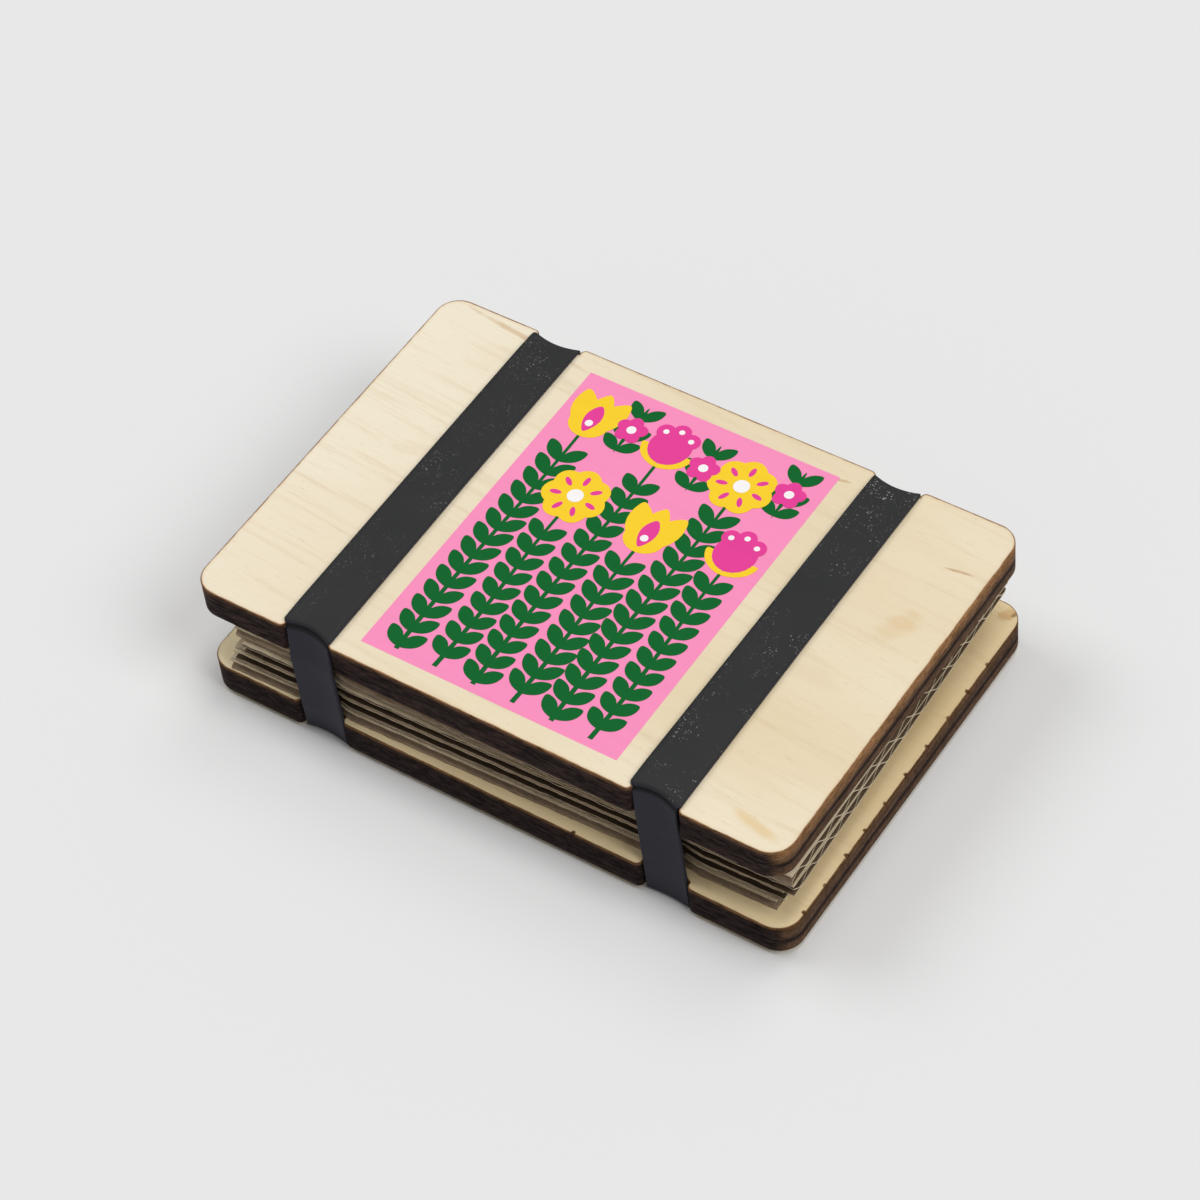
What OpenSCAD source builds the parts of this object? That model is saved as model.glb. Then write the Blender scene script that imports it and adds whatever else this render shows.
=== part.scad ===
// Small flower press: two notched plywood boards with corrugated cardboards and
// blotting papers between them, held shut by two flat rubber bands.
// X runs along the boards, Y from front to back and Z up. The origin is at the middle
// of the footprint, on the surface that the press stands on.

/* [Boards] */
// Length of each board
board_l = 120; // [100:1:160]
// Width of each board
board_w = 80; // [64:1:110]
// Thickness of each board
board_t = 6.3; // [3:0.1:12]
// Radius of the boards' rounded corners
corner_r = 4.5; // [1:0.5:10]

/* [Band notches] */
// Distance from the end of a board to the middle of a notch
notch_inset = 24.6; // [17:0.1:36]
// Width of a notch at the edge of the board
notch_mouth_w = 11.4; // [8:0.1:14]
// Depth of a notch
notch_depth = 2; // [1.2:0.1:4]
// Radius of the rounded corner on each side of a notch's mouth
notch_corner_r = 1.1; // [0.3:0.1:1.2]

/* [Cardboards] */
// Thickness of a corrugated cardboard
cardboard_t = 2.5; // [1.5:0.1:5]
// Thickness of a cardboard's flat outer layers
liner_t = 0.25; // [0.15:0.01:0.4]
// Thickness of a cardboard's wavy middle layer
fluting_t = 0.2; // [0.12:0.01:0.4]
// Length of one wave of the middle layer
flute_pitch = 5.9; // [3:0.1:9]
// Distance from a cardboard's end to the end of the boards
end_margin = 4; // [2:0.5:12]
// Distance from a cardboard's long edge to the floor of the notches
side_margin = 1; // [0.8:0.1:8]

/* [Blotting papers] */
// Thickness of a blotting paper
paper_t = 0.25; // [0.1:0.05:1]
// Distance from a paper's edge to the edge of the cardboards
paper_margin = 1; // [0:0.1:6]

/* [Rubber bands] */
// Width of a band where it lies flat on a board
band_w = 10.2; // [7:0.1:14]
// Thickness of a band
band_t = 1; // [0.5:0.1:2.5]
// Gap on each side of a band where it is drawn in between the notch's walls
neck_gap = 0.2; // [0.05:0.05:1]
// Length over which a band widens again beside a notch
neck_run = 4; // [2:0.5:12]
// Radius inside a band's folds, and its gap to the floor of a notch
fold_r = 0.3; // [0.1:0.05:1]
// How far the left band's middle wanders sideways across the top board
left_band_bow = -0.5; // [-2:0.1:2]
// How far the right band's middle wanders sideways across the top board
right_band_bow = -0.1; // [-2:0.1:2]

/* [How the boards lie] */
// How far the top board lies to the left of the bottom board
board_shift_x = 1.5; // [0:0.1:3]
// How far the top board lies behind the bottom board
board_shift_y = 1.7; // [0:0.1:3]

/* [Hidden] */
$fn = 64;

// Colours of the wood, cardboard, paper and rubber
birch = [0.90, 0.81, 0.62];
kraft = [0.69, 0.61, 0.50];
blotting_white = [0.93, 0.92, 0.88];
black_rubber = [0.15, 0.15, 0.17];

// How far cuts run past the faces that they open
overrun = 1;
// How deep the crests of the wavy layer are glued into the flat layers
glue_depth = 0.04;

// Cardboards in the stack, and blotting papers between each two of them
cardboards = 4;
papers_per_gap = 2;
// Straight pieces that follow one hollow of the wavy layer
steps_per_flute = 9;
// Straight pieces that a band has across a board, up one side and round one fold, which
// the rounded corners of a notch have too
steps_across = 14;
steps_up = 3;
steps_per_fold = 6;

// Where each cardboard lies, from the bottom up: its shift along X and Y as shares of
// end_margin and side_margin, its turn in degrees, and where its waves start as a share
// of one wave
cardboard_shift_shares = [[-0.18, 0.2], [0.2, 0], [0.65, 0.4], [0.45, 0]];
cardboard_turns = [0.8, 0.9, 0.9, 0.7];
flute_start_shares = [0.1, 0.55, 0.3, 0.8];
// The same for the blotting papers
paper_shift_shares = [[-0.1, 0.2], [0.05, -0.1], [0.1, 0.5], [0.3, 0.3], [0.6, -0.1], [0.4, 0.3]];
paper_turns = [0.6, 1.1, 0.7, 1.3, 1, 0.6];

// Heights of the boards' faces, from the underside of the bands
bottom_under_z = band_t;
bottom_top_z = bottom_under_z + board_t;
gap_pitch = cardboard_t + papers_per_gap * paper_t;
stack_t = cardboards * gap_pitch - papers_per_gap * paper_t;
top_under_z = bottom_top_z + stack_t;
top_z = top_under_z + board_t;

// Middles of the two boards: each lies half of the shift away from the origin
bottom_place = [board_shift_x / 2, -board_shift_y / 2];
top_place = -bottom_place;

// Sizes of the cardboards and of the papers
sheet_l = board_l - 2 * end_margin;
sheet_w = board_w - 2 * (notch_depth + side_margin);
paper_l = sheet_l - 2 * paper_margin;
paper_w = sheet_w - 2 * paper_margin;

// Distance from the middle of a board to the middle of a notch, along the board
notch_x = board_l / 2 - notch_inset;
// Half the distance between the floors of two facing notches, and a notch's floor width
notch_floor_y = board_w / 2 - notch_depth;
notch_floor_w = notch_mouth_w - 2 * notch_corner_r;
// Width of a band where it is drawn in
neck_w = min(band_w, notch_floor_w - 2 * neck_gap);

// The part of a notch that is cut from the front edge of a board
module notch_outline() {
    corner = [for (k = [0 : steps_per_fold])
        let (a = 90 * k / steps_per_fold)
        [notch_mouth_w / 2 - notch_corner_r * sin(a), notch_corner_r * (1 - cos(a))]];
    side = concat([[notch_mouth_w / 2, -overrun]], corner, [[notch_floor_w / 2, notch_depth]]);
    polygon(concat([for (p = side) [-p.x, p.y]],
                   [for (i = [len(side) - 1 : -1 : 0]) side[i]]));
}

module board_outline() {
    difference() {
        union() {
            square([board_l - 2 * corner_r, board_w], center = true);
            square([board_l, board_w - 2 * corner_r], center = true);
            for (sx = [-1, 1], sy = [-1, 1]) {
                translate([sx * (board_l / 2 - corner_r), sy * (board_w / 2 - corner_r)])
                    circle(r = corner_r);
            }
        }
        for (sx = [-1, 1], turn = [0, 180]) {
            rotate(turn) translate([sx * notch_x, -board_w / 2]) notch_outline();
        }
    }
}

module board(place, under_z) {
    color(birch)
        translate([place.x, place.y, under_z]) linear_extrude(board_t) board_outline();
}

// Half the height between the crests and the hollows of the wavy layer
function flute_rise() = cardboard_t / 2 - liner_t - fluting_t / 2 + glue_depth;
// Half the stretch of a wave, in degrees, along which a crest is glued to a flat layer
function glued_angle() = acos(1 - glue_depth / flute_rise());

// Section of the hollow above one wave, from its crest at zero to the next
module hollow_outline() {
    polygon([for (i = [0 : steps_per_flute])
        let (a = glued_angle() + (360 - 2 * glued_angle()) * i / steps_per_flute)
        [flute_pitch * a / 360, flute_rise() * cos(a) + fluting_t / 2]]);
}

// Section of a cardboard, as seen from its end
module cardboard_section(start_share) {
    waves = ceil(sheet_w / flute_pitch);
    difference() {
        square([sheet_w, cardboard_t], center = true);
        for (i = [-1 : waves]) {
            translate([(i - start_share) * flute_pitch - sheet_w / 2, 0]) {
                hollow_outline();
                translate([flute_pitch / 2, 0]) mirror([0, 1]) hollow_outline();
            }
        }
    }
}

// Sets a sheet down with its middle at a height and with its own shift and turn
module lay(shift_share, turn, z) {
    translate([bottom_place.x + shift_share.x * end_margin,
               bottom_place.y + shift_share.y * side_margin, z])
        rotate(turn) children();
}

module cardboard(number) {
    lay(cardboard_shift_shares[number - 1], cardboard_turns[number - 1],
        bottom_top_z + (number - 1) * gap_pitch)
        color(kraft)
            translate([-sheet_l / 2, 0, cardboard_t / 2]) rotate([90, 0, 90])
                linear_extrude(sheet_l) cardboard_section(flute_start_shares[number - 1]);
}

module blotting_paper(number) {
    gap = floor((number - 1) / papers_per_gap);
    place_in_gap = (number - 1) % papers_per_gap;
    lay(paper_shift_shares[number - 1], paper_turns[number - 1],
        bottom_top_z + gap * gap_pitch + cardboard_t + place_in_gap * paper_t)
        color(blotting_white)
            translate([-paper_l / 2, -paper_w / 2]) cube([paper_l, paper_w, paper_t]);
}

// Inner corners of a band round both boards, as [y, z], from the front edge of the
// bottom board towards the back and up
function band_corners() =
    let (reach = notch_floor_y + fold_r)
    [[bottom_place.y - reach, bottom_under_z], [bottom_place.y + reach, bottom_under_z],
     [top_place.y + reach, top_under_z], [top_place.y + reach, top_z],
     [top_place.y - reach, top_z], [bottom_place.y - reach, top_under_z]];

// Straight pieces that the band has from each of these corners to the next
band_steps = [steps_across, steps_up, steps_up, steps_across, steps_up, steps_up];

function wrapped(list, i) = list[(i + len(list)) % len(list)];
// Direction of the stretch that follows corner i, how much the band turns at corner i,
// and how far from the corner its rounding starts
function heading(c, i) =
    let (step = wrapped(c, i + 1) - wrapped(c, i)) atan2(step.y, step.x);
function bend(c, i) = (heading(c, i) - heading(c, i - 1) + 540) % 360 - 180;
function cut_back(c, i) = fold_r * tan(bend(c, i) / 2);

// Points round corner i, and then along the stretch behind it. Each is [y, z, the
// direction that the band's outer face looks in].
function fold_points(c, i) =
    let (into = heading(c, i - 1), count = ceil(bend(c, i) / 90 * steps_per_fold),
         start = wrapped(c, i) - cut_back(c, i) * [cos(into), sin(into)],
         centre = start + fold_r * [-sin(into), cos(into)])
    [for (k = [0 : 1 : count - 1])
        let (a = into - 90 + bend(c, i) * k / count)
        [centre.x + fold_r * cos(a), centre.y + fold_r * sin(a), a]];
function stretch_points(c, i) =
    let (out = heading(c, i), ahead = [cos(out), sin(out)],
         start = wrapped(c, i) + cut_back(c, i) * ahead,
         end = wrapped(c, i + 1) - cut_back(c, i + 1) * ahead)
    [for (k = [0 : band_steps[i] - 1])
        let (p = start + (end - start) * k / band_steps[i])
        [p.x, p.y, out - 90]];
function band_route() =
    let (c = band_corners())
    [for (i = [0 : len(c) - 1]) each concat(fold_points(c, i), stretch_points(c, i))];

function eased(f) = let (t = min(1, max(0, f))) t * t * (3 - 2 * t);

// Middle of a band in X: it leans from the bottom board's notch to the top board's, and
// bows sideways across the top board
function band_middle_x(side, bow, y, z) =
    let (up = min(1, max(0, (z - bottom_top_z) / stack_t)),
         along = min(1, max(0, (y - top_place.y + notch_floor_y) / (2 * notch_floor_y))),
         on_top = z >= top_z ? 1 : 0)
    side * notch_x + bottom_place.x + (top_place.x - bottom_place.x) * up
        + on_top * bow * sin(180 * along);

// Width of a band: full in the middle of the boards and drawn in between the notch walls
function band_width(y, z) =
    let (place = z >= top_z ? top_place.y : bottom_place.y,
         flat = z >= top_z || z <= bottom_under_z,
         inside = notch_floor_y - abs(y - place))
    flat ? neck_w + (band_w - neck_w) * eased(inside / neck_run) : neck_w;

module band(side, bow) {
    route = band_route();
    count = len(route);
    points = [for (p = route)
        let (x = band_middle_x(side, bow, p[0], p[1]), half = band_width(p[0], p[1]) / 2,
             inner = [p[0], p[1]], outer = inner + band_t * [cos(p[2]), sin(p[2])])
        each [[x - half, inner.x, inner.y], [x + half, inner.x, inner.y],
              [x + half, outer.x, outer.y], [x - half, outer.x, outer.y]]];
    faces = [for (i = [0 : count - 1], k = [0 : 3])
        let (a = 4 * i + k, b = 4 * i + (k + 1) % 4,
             c = 4 * ((i + 1) % count) + (k + 1) % 4, d = 4 * ((i + 1) % count) + k)
        each [[a, b, c], [a, c, d]]];
    color(black_rubber) polyhedron(points, faces);
}

board(bottom_place, bottom_under_z);  // bottom_board
cardboard(1);  // cardboard_1
blotting_paper(1);  // blotting_paper_1
blotting_paper(2);  // blotting_paper_2
cardboard(2);  // cardboard_2
blotting_paper(3);  // blotting_paper_3
blotting_paper(4);  // blotting_paper_4
cardboard(3);  // cardboard_3
blotting_paper(5);  // blotting_paper_5
blotting_paper(6);  // blotting_paper_6
cardboard(4);  // cardboard_4
board(top_place, top_under_z);  // top_board
band(-1, left_band_bow);  // band_left
band(1, right_band_bow);  // band_right
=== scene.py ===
"""A small flower press: two plywood boards with cardboards and blotting papers between
them, held shut by two flat rubber bands. Everything is modelled in millimetres and
scaled to metres when a piece is finished."""

import logging
import math
from collections.abc import Callable, Iterable
from dataclasses import dataclass, field
from enum import Enum

import bmesh
import bpy
from bmesh.types import BMEdge, BMesh, BMFace, BMVert
from bpy.types import Material, Node, NodeSocket, Object
from mathutils import Matrix, Vector, noise
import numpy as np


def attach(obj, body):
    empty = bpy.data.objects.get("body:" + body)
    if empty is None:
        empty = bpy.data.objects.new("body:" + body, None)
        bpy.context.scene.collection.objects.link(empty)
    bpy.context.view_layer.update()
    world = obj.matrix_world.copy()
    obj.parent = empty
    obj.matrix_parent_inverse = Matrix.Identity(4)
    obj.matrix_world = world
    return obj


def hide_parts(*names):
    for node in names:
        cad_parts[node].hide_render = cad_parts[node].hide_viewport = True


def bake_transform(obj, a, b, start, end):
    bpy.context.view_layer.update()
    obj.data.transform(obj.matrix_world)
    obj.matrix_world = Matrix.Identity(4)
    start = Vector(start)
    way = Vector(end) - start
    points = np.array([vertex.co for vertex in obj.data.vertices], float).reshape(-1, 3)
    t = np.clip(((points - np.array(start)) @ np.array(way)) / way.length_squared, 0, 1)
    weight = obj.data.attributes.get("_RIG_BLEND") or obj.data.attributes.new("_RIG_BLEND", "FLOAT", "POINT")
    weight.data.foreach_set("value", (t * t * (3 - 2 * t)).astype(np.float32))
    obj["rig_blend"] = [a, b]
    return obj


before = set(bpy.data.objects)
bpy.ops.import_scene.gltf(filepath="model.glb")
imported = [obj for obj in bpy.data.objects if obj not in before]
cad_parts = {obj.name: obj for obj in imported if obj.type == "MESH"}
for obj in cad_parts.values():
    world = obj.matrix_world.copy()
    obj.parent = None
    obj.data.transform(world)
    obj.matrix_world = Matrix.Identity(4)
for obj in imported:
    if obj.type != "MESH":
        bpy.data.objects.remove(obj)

log = logging.getLogger("flower_press")
logging.basicConfig(level=logging.INFO, format="%(message)s")
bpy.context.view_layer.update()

MM = 0.001
SCORCH = "scorch"
Colour = tuple[float, float, float]


def srgb(*levels: int) -> Colour:
    """Turns red, green and blue of the 0 to 255 screen scale into a shader's linear values."""
    shares = (level / 255 for level in levels)
    return tuple(c / 12.92 if c <= 0.04045 else ((c + 0.055) / 1.055) ** 2.4 for c in shares)


@dataclass(frozen=True)
class PressSizes:
    """The press's main sizes in millimetres, as the construction has them."""

    board_length: float = 120.0
    board_width: float = 80.0
    board_thickness: float = 6.3
    corner_radius: float = 4.5
    notch_x: float = 35.4
    notch_mouth: float = 11.4
    notch_depth: float = 2.65
    notch_side: float = 1.35
    notch_corner: float = 1.1
    band_width: float = 10.2
    band_thickness: float = 1.0
    fold_radius: float = 0.2
    bottom_place: tuple[float, float] = (0.75, -0.85)
    top_place: tuple[float, float] = (-0.75, 0.85)
    bottom_under: float = 1.0
    bottom_top: float = 7.3
    top_under: float = 18.8
    top_top: float = 25.1
    cardboard_thickness: float = 2.5
    paper_thickness: float = 0.25
    sheet_length: float = 112.0
    sheet_width: float = 74.0

    @property
    def halves(self) -> tuple[float, float]:
        """Half of a board's length and half of its width."""
        return self.board_length / 2, self.board_width / 2

    @property
    def floor_y(self) -> float:
        """Distance from a board's middle line to the deepest point of its notches."""
        return self.board_width / 2 - self.notch_depth


SIZES = PressSizes()


# --- Finishes ---


class Shader:
    """A material's nodes, with short calls for those that the finishes share."""

    def __init__(self, name: str) -> None:
        """Starts a material that holds only a principled shader.

        Args:
            name: The material's name.
        """
        self.material = bpy.data.materials.new(name)
        self.material.use_nodes = True
        self.tree = self.material.node_tree
        self.tree.nodes.clear()
        self.surface = self.node("BsdfPrincipled")
        self.node("OutputMaterial", {"Surface": self.surface.outputs[0]})
        self.place = self.node("TexCoord").outputs["Object"]

    def node(self, kind: str, fed: dict[int | str, object] | None = None, **settings: object) -> Node:
        """Adds a node.

        Args:
            kind: Its type.
            fed: What its inputs hold, or the sockets that they are linked to.
            settings: Its properties.

        Returns:
            The node.
        """
        made = self.tree.nodes.new("ShaderNode" + kind)
        for name, value in settings.items():
            setattr(made, name, value)
        self.feed(made, fed or {})
        return made

    def feed(self, node: Node, fed: dict[int | str, object]) -> None:
        """Links inputs of a node to other nodes, or gives them plain values.

        Args:
            node: The node.
            fed: A socket, a number, a colour or a vector for each input.
        """
        for name, value in fed.items():
            socket = node.inputs[name]
            if isinstance(value, NodeSocket):
                self.tree.links.new(value, socket)
            else:
                socket.default_value = (*value, 1.0) if socket.type == "RGBA" else value

    def math(self, operation: str, *values: object, clamp: bool = False) -> NodeSocket:
        """The result of a Math node over values or sockets."""
        return self.node("Math", dict(enumerate(values)), operation=operation, use_clamp=clamp).outputs[0]

    def stretched(self, scale: float | Colour, turn: float = 0.0, shift: Colour = (0, 0, 0)) -> NodeSocket:
        """The place on the piece, turned about Z and scaled along each axis.

        Args:
            scale: Waves per metre, along each axis or along all three.
            turn: The turn in degrees.
            shift: Offset in the scaled pattern.

        Returns:
            The mapped place.
        """
        turned = self.node("VectorRotate", {"Vector": self.place, "Angle": math.radians(turn)},
                           rotation_type="Z_AXIS")
        sizes = scale if isinstance(scale, tuple) else (scale,) * 3
        fed = {"Vector": turned.outputs[0], "Scale": sizes, "Location": shift}
        return self.node("Mapping", fed).outputs[0]

    def noise(self, scale: float | Colour, detail: float = 4.0, roughness: float = 0.6, turn: float = 0.0,
              shift: Colour = (0, 0, 0), distortion: float = 0.0) -> NodeSocket:
        """A noise over the stretched place.

        Args:
            scale: Waves per metre, along each axis or along all three.
            detail: How many finer layers it has.
            roughness: How strong the finer layers are.
            turn: Its turn about Z in degrees.
            shift: Its offset.
            distortion: How far it is twisted.

        Returns:
            The noise from 0 to 1.
        """
        return self.node("TexNoise", {
            "Vector": self.stretched(scale, turn, shift), "Scale": 1.0, "Detail": detail,
            "Roughness": roughness, "Distortion": distortion}).outputs[0]

    def range(self, value: object, low: float, high: float, out_low: float = 0.0, out_high: float = 1.0,
              smooth: bool = False) -> NodeSocket:
        """Maps the values from low to high to another range, and holds them at its ends."""
        return self.node("MapRange", dict(enumerate((value, low, high, out_low, out_high))),
                         interpolation_type="SMOOTHSTEP" if smooth else "LINEAR").outputs[0]

    def mix(self, share: object, first: object, second: object, blend: str = "MIX") -> NodeSocket:
        """Lays a second colour over a first one, as strongly as the share says."""
        fed = {0: share, 6: first, 7: second}
        return self.node("Mix", fed, data_type="RGBA", blend_type=blend).outputs[2]

    def ramp(self, value: object, stops: Iterable[tuple[float, Colour]]) -> NodeSocket:
        """A colour ramp.

        Args:
            value: Where it is read, from 0 to 1.
            stops: Each stop's place and colour, in order.

        Returns:
            The colour.
        """
        made = self.node("ValToRGB", {0: value})
        elements = made.color_ramp.elements
        for index, (at, colour) in enumerate(stops):
            element = elements[index] if index < 2 else elements.new(1.0)
            element.position = at
            element.color = (*colour, 1.0)
        return made.outputs[0]

    def axis(self, name: str, of: NodeSocket | None = None) -> NodeSocket:
        """One coordinate of the place on the piece, in metres, or of another vector."""
        return self.node("SeparateXYZ", {0: of or self.place}).outputs[name]

    def facing(self, name: str) -> NodeSocket:
        """How far the surface faces along an axis, from 0 to 1, on either side."""
        return self.math("ABSOLUTE", self.axis(name, self.node("TexCoord").outputs["Normal"]))

    def bump(self, height: object, distance: float, strength: float) -> None:
        """Adds relief to the surface.

        Args:
            height: The relief from 0 to 1.
            distance: The height of 1, in millimetres.
            strength: How much of it shows.
        """
        fed = {"Height": height, "Distance": distance * MM, "Strength": strength}
        for earlier in self.surface.inputs["Normal"].links:
            fed["Normal"] = earlier.from_socket
        self.feed(self.surface, {"Normal": self.node("Bump", fed).outputs[0]})

    def paint(self, colour: object, roughness: object, specular: float) -> Material:
        """Gives the surface its look.

        Args:
            colour: Its colour.
            roughness: Its roughness.
            specular: Its sheen.

        Returns:
            The material.
        """
        fed = {"Base Color": colour, "Roughness": roughness, "Specular IOR Level": specular}
        self.feed(self.surface, fed)
        return self.material


@dataclass(frozen=True)
class Streak:
    """A stain or flame in the veneer: its middle and size in millimetres, its turn in
    degrees, its colour and how strong it is."""

    x: float
    y: float
    length: float
    width: float
    turn: float
    colour: Colour
    strength: float


@dataclass(frozen=True)
class BirchFace:
    """The pale, sanded birch face of a board."""

    name: str
    pale: Colour = srgb(240, 227, 200)
    warm: Colour = srgb(231, 213, 178)
    line: Colour = srgb(206, 178, 136)
    pore: Colour = srgb(196, 166, 122)
    haze: Colour = srgb(214, 170, 110)
    scorch: Colour = srgb(146, 100, 56)
    streaks: tuple[Streak, ...] = ()
    seed: float = 0.0
    # How strongly the left end is paled as painted light, and the pale colour it is paled to.
    left_light: float = 0.0
    left_light_colour: Colour = srgb(245, 236, 216)

    def material(self) -> Material:
        """Long faint grain along X, fine pores, stains, a scorched rim, and painted light that pales the left
        end.

        Returns:
            The material.
        """
        s = Shader(self.name)
        aside = (self.seed, 0, 0)
        clouds = s.noise((9, 26, 9), 3.0, 0.5, 4.0, aside)
        grain = s.noise((28, 620, 28), 5.0, 0.62, 5.0, (self.seed, self.seed, 0), 0.35)
        pores = s.noise((420, 3600, 420), 2.0, 0.5, 4.0, (0, self.seed, 0))
        waves = s.noise((34, 150, 34), 2.0, 0.4, 6.0, aside, 1.2)
        colour = s.mix(s.range(clouds, 0.34, 0.68, smooth=True), self.pale, self.warm)
        # Painted light: the face is paled towards its left end.
        left_end = s.range(s.axis("X"), -58 * MM, -5 * MM, self.left_light, 0.0)
        colour = s.mix(left_end, colour, self.left_light_colour)
        colour = s.mix(s.range(grain, 0.52, 0.8, 0.0, 0.34), colour, self.line)
        colour = s.mix(s.range(waves, 0.6, 0.72, 0.0, 0.12, smooth=True), colour, self.line)
        colour = s.mix(s.range(pores, 0.62, 0.8, 0.0, 0.3), colour, self.pore)
        for streak in self.streaks:
            colour = s.mix(self.stain(s, streak), colour, streak.colour)
        rim = s.node("Attribute", attribute_name=SCORCH).outputs["Fac"]
        patchy = s.noise(260, 3.0)
        amount = s.math("MULTIPLY", rim, s.range(patchy, 0.25, 0.7, 0.65, 1.15), clamp=True)
        colour = s.mix(s.range(amount, 0.0, 0.45, 0.0, 0.16), colour, self.haze)
        colour = s.mix(s.range(amount, 0.42, 0.98, smooth=True), colour, self.scorch)
        s.bump(grain, 0.03, 0.6)
        s.bump(pores, 0.02, 0.5)
        return s.paint(colour, s.range(grain, 0.3, 0.8, 0.5, 0.64), 0.35)

    @staticmethod
    def stain(s: Shader, streak: Streak) -> NodeSocket:
        """How strong one stain is at each place, from 0 to 1.

        Args:
            s: The shader that it is drawn in.
            streak: The stain.

        Returns:
            Its strength.
        """
        middle = (streak.x * MM, streak.y * MM, 0)
        centred = s.node("VectorMath", {0: s.place, 1: middle}, operation="SUBTRACT")
        turned = s.node("VectorRotate", {"Vector": centred.outputs[0], "Angle": math.radians(-streak.turn)},
                        rotation_type="Z_AXIS").outputs[0]
        wander = s.noise((160, 420, 160), 3.0, 0.6, 5.0, (streak.x, 0, 0))
        reach = s.range(wander, 0.2, 0.8, -0.5, 0.7)
        for axis, size in (("X", streak.length), ("Y", streak.width)):
            share = s.math("DIVIDE", s.axis(axis, turned), size / 2 * MM)
            reach = s.math("ADD", reach, s.math("MULTIPLY", share, share))
        return s.range(reach, 0.0, 1.0, streak.strength, 0.0, smooth=True)


@dataclass(frozen=True)
class BurntEdge:
    """The laser-cut wall of a board: three plies, browned on the short sides and nearly
    black on the long ones."""

    name: str
    underside: float
    seed: float = 0.0
    arris: Colour = srgb(178, 130, 84)
    upper: Colour = srgb(158, 114, 72)
    middle: tuple[Colour, Colour] = (srgb(118, 88, 63), srgb(144, 108, 76))
    rust: Colour = srgb(88, 64, 51)
    ash: float = 0.4
    flake: tuple[float, float, float] = (0, 0, -100)

    def material(self) -> Material:
        """Plies by height, darker where the wall faces the front or the back, and a flake
        of clean wood where something knocked it.

        Returns:
            The material.
        """
        s = Shader(self.name)
        aside, deeper = (self.seed, 0, 0), (0, self.seed, 0)
        wobble = s.noise((90, 90, 60), 3.0, shift=aside)
        height = s.math("SUBTRACT", s.axis("Z"), self.underside * MM)
        height = s.math("DIVIDE", height, SIZES.board_thickness * MM)
        height = s.math("ADD", height, s.range(wobble, 0.2, 0.8, -0.035, 0.035))
        short_side = s.ramp(height, (
            (0.00, srgb(106, 80, 61)), (0.10, srgb(112, 84, 63)), (0.28, srgb(98, 73, 55)),
            (0.34, srgb(58, 42, 34)), (0.41, srgb(28, 20, 18)), (0.47, srgb(60, 44, 36)),
            (0.55, self.middle[0]), (0.72, self.middle[1]), (0.86, self.upper), (0.98, self.arris)))
        long_side = s.ramp(height, (
            (0.00, srgb(58, 45, 41)), (0.10, srgb(52, 40, 37)), (0.24, srgb(36, 27, 27)),
            (0.42, srgb(42, 31, 31)), (0.60, srgb(34, 25, 25)), (0.74, srgb(40, 30, 29)),
            (0.81, srgb(50, 37, 33)), (0.89, self.rust), (0.985, srgb(150, 108, 68))))
        outermost = s.range(s.math("ABSOLUTE", s.axis("X")), 53 * MM, 57 * MM)
        side = s.math("MULTIPLY", s.range(s.facing("X"), 0.25, 0.8, smooth=True), outermost)
        colour = s.mix(side, long_side, short_side)
        fibres = s.noise((60, 60, 2600), shift=deeper)
        soot = s.noise((330, 330, 520), roughness=0.65)
        colour = s.mix(s.range(fibres, 0.42, 0.72, 0.0, 0.55), colour, srgb(24, 17, 15), "MULTIPLY")
        colour = s.mix(s.range(soot, 0.45, 0.75, 0.0, 0.5), colour, srgb(32, 23, 22))
        ash = s.noise((170, 170, 1900), roughness=0.65, shift=aside)
        calm = s.range(side, 0.0, 1.0, 1.0, 0.5)
        streaked = s.math("MULTIPLY", s.range(ash, 0.46, 0.72, 0.0, self.ash), calm)
        colour = s.mix(streaked, colour, srgb(112, 86, 78))
        grit = s.noise((430, 1300, 2100), 3.0, 0.7, shift=deeper)
        pitted = s.math("MULTIPLY", s.range(grit, 0.52, 0.3, 0.0, 0.9), calm)
        colour = s.mix(pitted, colour, srgb(20, 14, 13), "MULTIPLY")
        dusty = s.mix(s.range(grit, 0.5, 0.72, 0.0, 0.35), colour, srgb(94, 76, 74))
        bare = s.mix(s.range(grit, 0.5, 0.72, 0.0, 0.5), colour, (0.95, 0.9, 0.86), "OVERLAY")
        colour = s.mix(side, dusty, bare)
        flake = tuple(c * MM for c in self.flake)
        away = s.node("VectorMath", {0: s.place, 1: flake}, operation="DISTANCE").outputs["Value"]
        spot = s.math("ADD", away, s.range(soot, 0.3, 0.8, -0.3 * MM, 0.3 * MM))
        colour = s.mix(s.range(spot, 0.35 * MM, 0.5 * MM, 1.0, 0.0), colour, srgb(240, 222, 200))
        s.bump(fibres, 0.06, 0.7)
        s.bump(soot, 0.04, 0.5)
        s.bump(grit, 0.05, 0.6)
        return s.paint(colour, s.range(soot, 0.3, 0.8, 0.65, 0.9), 0.05)


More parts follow.
